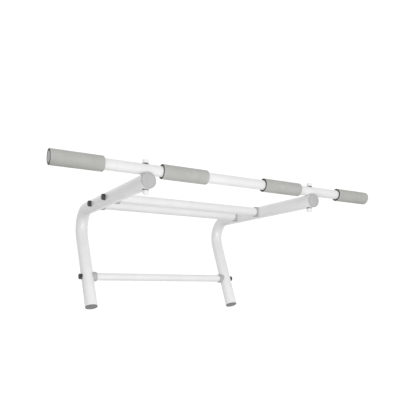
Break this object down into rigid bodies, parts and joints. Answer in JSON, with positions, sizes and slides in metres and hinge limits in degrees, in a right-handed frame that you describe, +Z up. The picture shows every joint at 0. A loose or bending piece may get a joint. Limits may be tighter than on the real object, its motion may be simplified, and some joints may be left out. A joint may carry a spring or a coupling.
{
  "type": "pull up bar",
  "caption": "Removable pull-up bar that hooks over a wall-bar rung: two bent side frames, a long front bar with foam grips, cross tubes and a lower crossbar.",
  "frame": {"origin": "on the axis of the wall-bar rung that the two bends hook over, midway between the two side frames", "axes": "+Z up, +Y from the room towards the wall, +X along the front bar, to the right for a person facing the wall"},
  "size_m": [1.014, 0.5805, 0.3878],
  "materials": {
    "white_powder_coat": "white powder coat, satin, fine orange peel",
    "grip_foam": "closed-cell foam, matt, mid grey",
    "grey_plastic": "moulded plastic, fine texture, light grey",
    "dark_grey_plastic": "moulded plastic, fine texture, dark grey",
    "black_plastic": "moulded plastic, satin black",
    "white_hardware": "white painted steel, satin",
    "zinc_steel": "bright zinc plate"
  },
  "bodies": {
    "root": {"front_bar": "white_powder_coat", "front_cross_tube": "white_powder_coat", "rear_cross_tube": "white_powder_coat", "lower_crossbar": "white_powder_coat", "left_side_frame": "white_powder_coat", "left_arm_cap": "grey_plastic", "left_foot_cap": "dark_grey_plastic", "left_bar_plug": "grey_plastic", "left_outer_grip": "grip_foam", "left_inner_grip": "grip_foam", "left_bar_washer": "black_plastic", "left_bar_bolt": "white_hardware", "left_arm_washer": "black_plastic", "left_cap_nut": "white_hardware", "right_side_frame": "white_powder_coat", "right_arm_cap": "grey_plastic", "right_foot_cap": "dark_grey_plastic", "right_bar_plug": "grey_plastic", "right_outer_grip": "grip_foam", "right_inner_grip": "grip_foam", "right_bar_washer": "black_plastic", "right_bar_bolt": "white_hardware", "right_arm_washer": "black_plastic", "right_cap_nut": "white_hardware", "front_left_collar": "grey_plastic", "front_left_tube_insert": "zinc_steel", "front_left_saddle_washer": "black_plastic", "front_left_side_bolt": "zinc_steel", "front_left_bolt_cover": "black_plastic", "front_right_collar": "grey_plastic", "front_right_tube_insert": "zinc_steel", "front_right_saddle_washer": "black_plastic", "front_right_side_bolt": "zinc_steel", "front_right_bolt_cover": "black_plastic", "rear_left_collar": "grey_plastic", "rear_left_tube_insert": "zinc_steel", "rear_left_saddle_washer": "black_plastic", "rear_left_side_bolt": "zinc_steel", "rear_left_bolt_cover": "black_plastic", "rear_right_collar": "grey_plastic", "rear_right_tube_insert": "zinc_steel", "rear_right_saddle_washer": "black_plastic", "rear_right_side_bolt": "zinc_steel", "rear_right_bolt_cover": "black_plastic", "lower_left_collar": "grey_plastic", "lower_left_tube_insert": "zinc_steel", "lower_left_saddle_washer": "black_plastic", "lower_left_side_bolt": "zinc_steel", "lower_left_bolt_cover": "black_plastic", "lower_right_collar": "grey_plastic", "lower_right_tube_insert": "zinc_steel", "lower_right_saddle_washer": "black_plastic", "lower_right_side_bolt": "zinc_steel", "lower_right_bolt_cover": "black_plastic"}
  },
  "joints": []
}
